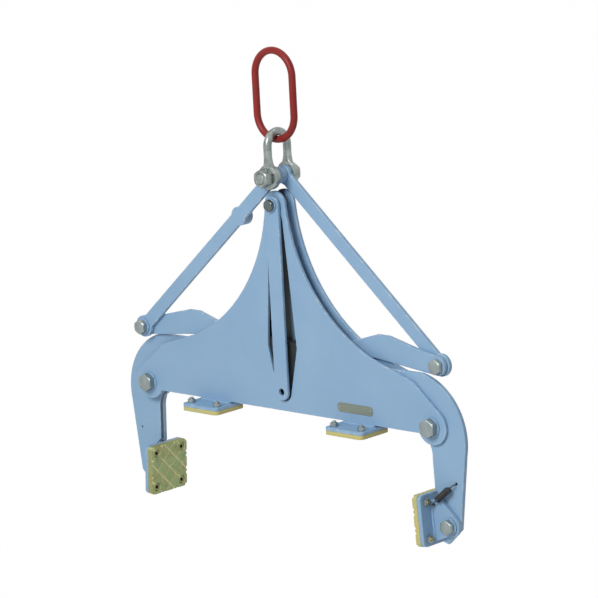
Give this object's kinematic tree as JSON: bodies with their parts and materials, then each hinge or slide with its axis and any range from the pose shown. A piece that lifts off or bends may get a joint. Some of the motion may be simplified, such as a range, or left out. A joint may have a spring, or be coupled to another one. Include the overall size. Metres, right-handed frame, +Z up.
{
  "type": "lifting tongs",
  "caption": "Lever lifting tongs: crossed grip arms with swivelling urethane pads on a plate body, drawn in by link bars when the shackle and master link are lifted.",
  "frame": {"origin": "inside top of the master link, where the hoist hook bears", "axes": "+Z up; +X to the right seen from the front, along the body; +Y to the back, along the pivot bolts"},
  "size_m": [0.8274, 0.105, 0.8504],
  "materials": {
    "blue_paint": "satin",
    "zinc_steel": "satin",
    "urethane": "matte",
    "red_paint": "gloss",
    "black_wire": "satin",
    "bare_plate": "satin"
  },
  "bodies": {
    "frame": {"front_plate": "blue_paint", "back_plate": "blue_paint", "pivot_sleeves": "zinc_steel", "pivot_spacers": "blue_paint", "pivot_bolts": "zinc_steel", "pivot_washers": "blue_paint", "pivot_nuts": "zinc_steel", "bar_bush": "zinc_steel", "apex_spacer": "zinc_steel", "apex_bolt": "zinc_steel", "apex_washers": "blue_paint", "apex_nut": "zinc_steel", "left_rest_plate": "blue_paint", "right_rest_plate": "blue_paint", "left_rest_pad": "urethane", "right_rest_pad": "urethane", "rest_bolts": "zinc_steel", "rest_nuts": "zinc_steel", "name_plate": "bare_plate", "name_plate_rivets": "bare_plate"},
    "right_arm": {"right_arm": "blue_paint", "right_arm_strip": "blue_paint", "left_lever_bolt": "zinc_steel", "left_lever_washer": "blue_paint", "left_lever_clip": "zinc_steel", "right_pad_pivot": "zinc_steel", "right_pad_washer": "blue_paint", "right_pad_spring": "black_wire"},
    "left_arm": {"left_arm": "blue_paint", "left_arm_strip": "blue_paint", "right_lever_bolt": "zinc_steel", "right_lever_washer": "blue_paint", "right_lever_clip": "zinc_steel", "left_pad_pivot": "zinc_steel", "left_pad_washer": "blue_paint", "left_pad_spring": "black_wire"},
    "hoist_pin": {"shackle_pin": "zinc_steel", "shackle_nut": "zinc_steel", "pin_spacer": "blue_paint"},
    "left_link": {"left_link": "blue_paint", "link_boss": "blue_paint"},
    "right_link": {"right_link": "blue_paint"},
    "shackle": {"shackle_bow": "zinc_steel"},
    "master_link": {"master_link": "red_paint"},
    "swing_bar": {"swing_bar": "blue_paint"},
    "right_pad": {"right_pad_plate": "blue_paint", "right_pad": "urethane", "right_pad_bolts": "zinc_steel", "right_pad_nuts": "zinc_steel"},
    "left_pad": {"left_pad_plate": "blue_paint", "left_pad": "urethane", "left_pad_bolts": "zinc_steel", "left_pad_nuts": "zinc_steel"}
  },
  "joints": [
    {"name": "right_arm_swing", "type": "hinge", "parent": "frame", "child": "right_arm", "pos_m": [0.345, 0, -0.6276], "axis": [0, 1, 0], "range_deg": [0, 15]},
    {"name": "left_arm_swing", "type": "hinge", "parent": "frame", "child": "left_arm", "pos_m": [-0.345, 0, -0.6276], "axis": [0, -1, 0], "range_deg": [0, 15]},
    {"name": "pin_lift", "type": "slide", "parent": "frame", "child": "hoist_pin", "axis": [0, 0, 1], "range_m": [0, 0.2246]},
    {"name": "left_link_swing", "type": "hinge", "parent": "hoist_pin", "child": "left_link", "pos_m": [0, 0, -0.2156], "axis": [0, -1, 0], "range_deg": [0, 8.25]},
    {"name": "right_link_swing", "type": "hinge", "parent": "hoist_pin", "child": "right_link", "pos_m": [0, 0, -0.2156], "axis": [0, 1, 0], "range_deg": [0, 8.25]},
    {"name": "shackle_swing", "type": "hinge", "parent": "hoist_pin", "child": "shackle", "pos_m": [0, 0, -0.2156], "axis": [0, 1, 0], "range_deg": [-60, 60]},
    {"name": "master_link_swing", "type": "hinge", "parent": "shackle", "child": "master_link", "pos_m": [0, 0, -0.1515], "axis": [1, 0, 0], "range_deg": [-60, 60]},
    {"name": "swing_bar_swing", "type": "hinge", "parent": "frame", "child": "swing_bar", "pos_m": [0, -0.0204, -0.2656], "axis": [0, 1, 0], "range_deg": [-45, 45]},
    {"name": "right_pad_swivel", "type": "hinge", "parent": "right_arm", "child": "right_pad", "pos_m": [0.379, 0, -0.7986], "axis": [0, -1, 0], "range_deg": [0, 15], "stiffness_Nm_per_rad": 3, "springref_deg": -17.19, "deforming": ["right_pad_spring"]},
    {"name": "left_pad_swivel", "type": "hinge", "parent": "left_arm", "child": "left_pad", "pos_m": [-0.379, 0, -0.7986], "axis": [0, 1, 0], "range_deg": [0, 15], "stiffness_Nm_per_rad": 3, "springref_deg": -17.19, "deforming": ["left_pad_spring"]}
  ],
  "couplings": [
    {"joint": "left_arm_swing", "follows": "right_arm_swing", "ratio": 1},
    {"joint": "pin_lift", "follows": "right_arm_swing", "m_per_rad": 0.85737},
    {"joint": "left_link_swing", "follows": "right_arm_swing", "ratio": 0.54624},
    {"joint": "right_link_swing", "follows": "right_arm_swing", "ratio": 0.54624}
  ]
}
